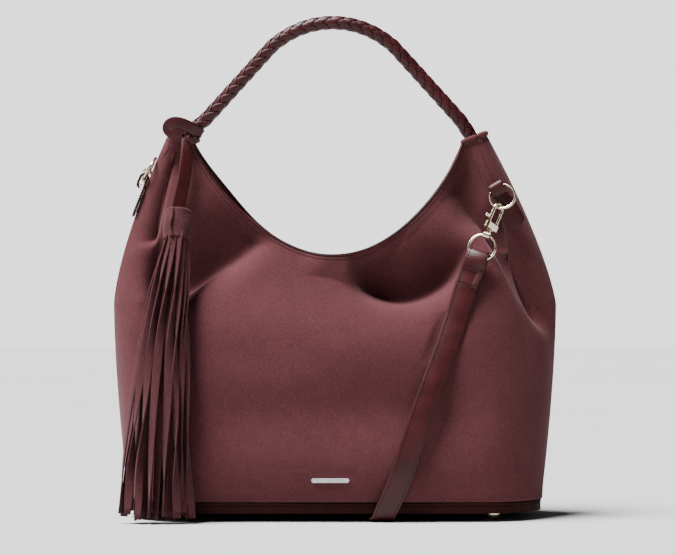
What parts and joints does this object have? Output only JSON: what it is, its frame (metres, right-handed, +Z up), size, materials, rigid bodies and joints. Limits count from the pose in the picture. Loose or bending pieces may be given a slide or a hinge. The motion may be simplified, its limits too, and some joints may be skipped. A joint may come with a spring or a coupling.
{
  "type": "hobo bag",
  "caption": "Soft suede shoulder bag gathered round a braided arch handle, with a clip-on long strap, a fringed tassel and a piped leather base on metal feet.",
  "frame": {"origin": "on the floor, at the middle of the centre foot under the base", "axes": "+X to the right seen from the front, -Y the front, +Z up"},
  "size_m": [0.3978, 0.284, 0.4496],
  "materials": {
    "suede": "burgundy suede",
    "smooth_leather": "glossy burgundy",
    "lining": "plain cotton",
    "zip_tape": "woven tape",
    "board": "matt",
    "rope": "cotton cord",
    "gold": "polished pale gold",
    "steel": "satin"
  },
  "bodies": {
    "bag": {"front_panel": "suede", "back_panel": "suede", "front_lining": "lining", "back_lining": "lining", "base_lining": "lining", "base_panel": "smooth_leather", "base_board": "board", "base_piping": "smooth_leather", "feet": "gold", "front_binding": "smooth_leather", "back_binding": "smooth_leather", "inner_pocket": "lining", "zip_tape": "zip_tape", "snap_socket": "gold", "snap_stud": "gold", "badge": "steel", "left_handle_end": "smooth_leather", "right_handle_end": "smooth_leather", "right_tab": "smooth_leather", "left_tab": "smooth_leather", "strap": "smooth_leather", "tassel_loop": "smooth_leather"},
    "handle": {"handle_braid": "smooth_leather", "handle_core": "rope"},
    "tassel": {"tassel_strip": "smooth_leather", "tassel_cap": "suede", "tassel_fringe": "suede"},
    "right_ring_set": {"right_ring": "gold", "right_swivel": "gold", "right_strap_ring": "gold"},
    "right_hook": {"right_hook": "gold", "right_spring": "steel"},
    "right_trigger": {"right_trigger": "gold"},
    "left_ring_set": {"left_ring": "gold", "left_swivel": "gold", "left_strap_ring": "gold"},
    "left_hook": {"left_hook": "gold", "left_spring": "steel"},
    "left_trigger": {"left_trigger": "gold"},
    "zip_slider": {"zip_slider": "gold"},
    "zip_pull": {"zip_pull": "gold"}
  },
  "joints": [
    {"name": "handle_flop", "type": "hinge", "parent": "bag", "child": "handle", "pos_m": [-0.002, 0, 0.365], "axis": [1, 0, 0], "range_deg": [-60, 60]},
    {"name": "tassel_swing", "type": "hinge", "parent": "bag", "child": "tassel", "pos_m": [-0.134, -0.017, 0.345], "axis": [1, 0, 0], "range_deg": [-60, 0]},
    {"name": "right_ring_swing", "type": "hinge", "parent": "bag", "child": "right_ring_set", "pos_m": [0.1435, -0.024, 0.295], "axis": [0.8572, 0, 0.515], "range_deg": [-20, 0], "deforming": ["strap"]},
    {"name": "right_hook_spin", "type": "hinge", "parent": "right_ring_set", "child": "right_hook", "pos_m": [0.14499, -0.03214, 0.27458], "axis": [-0.3936, -0.2476, -0.8853], "range_deg": [-30, 8]},
    {"name": "right_trigger_slide", "type": "slide", "parent": "right_hook", "child": "right_trigger", "axis": [-0.3936, -0.2476, -0.8853], "range_m": [0, 0.003], "stiffness_N_per_m": 300, "springref_m": -0.002, "deforming": ["right_spring"]},
    {"name": "left_ring_swing", "type": "hinge", "parent": "bag", "child": "left_ring_set", "pos_m": [-0.1726, 0.004, 0.302], "axis": [0, 1, 0], "range_deg": [-15, 0], "deforming": ["strap"]},
    {"name": "left_hook_spin", "type": "hinge", "parent": "left_ring_set", "child": "left_hook", "pos_m": [-0.16931, 0.01445, 0.30709], "axis": [0.05, 0.3421, -0.9383], "range_deg": [-10, 10]},
    {"name": "left_trigger_slide", "type": "slide", "parent": "left_hook", "child": "left_trigger", "axis": [0.05, 0.3421, -0.9383], "range_m": [0, 0.003], "stiffness_N_per_m": 300, "springref_m": -0.002, "deforming": ["left_spring"]},
    {"name": "zip_slide", "type": "slide", "parent": "bag", "child": "zip_slider", "axis": [1, 0, 0], "range_m": [0, 0.106]},
    {"name": "zip_pull_swing", "type": "hinge", "parent": "zip_slider", "child": "zip_pull", "pos_m": [-0.06, 0.04343, 0.168], "axis": [1, 0, 0], "range_deg": [-80, 0]}
  ]
}
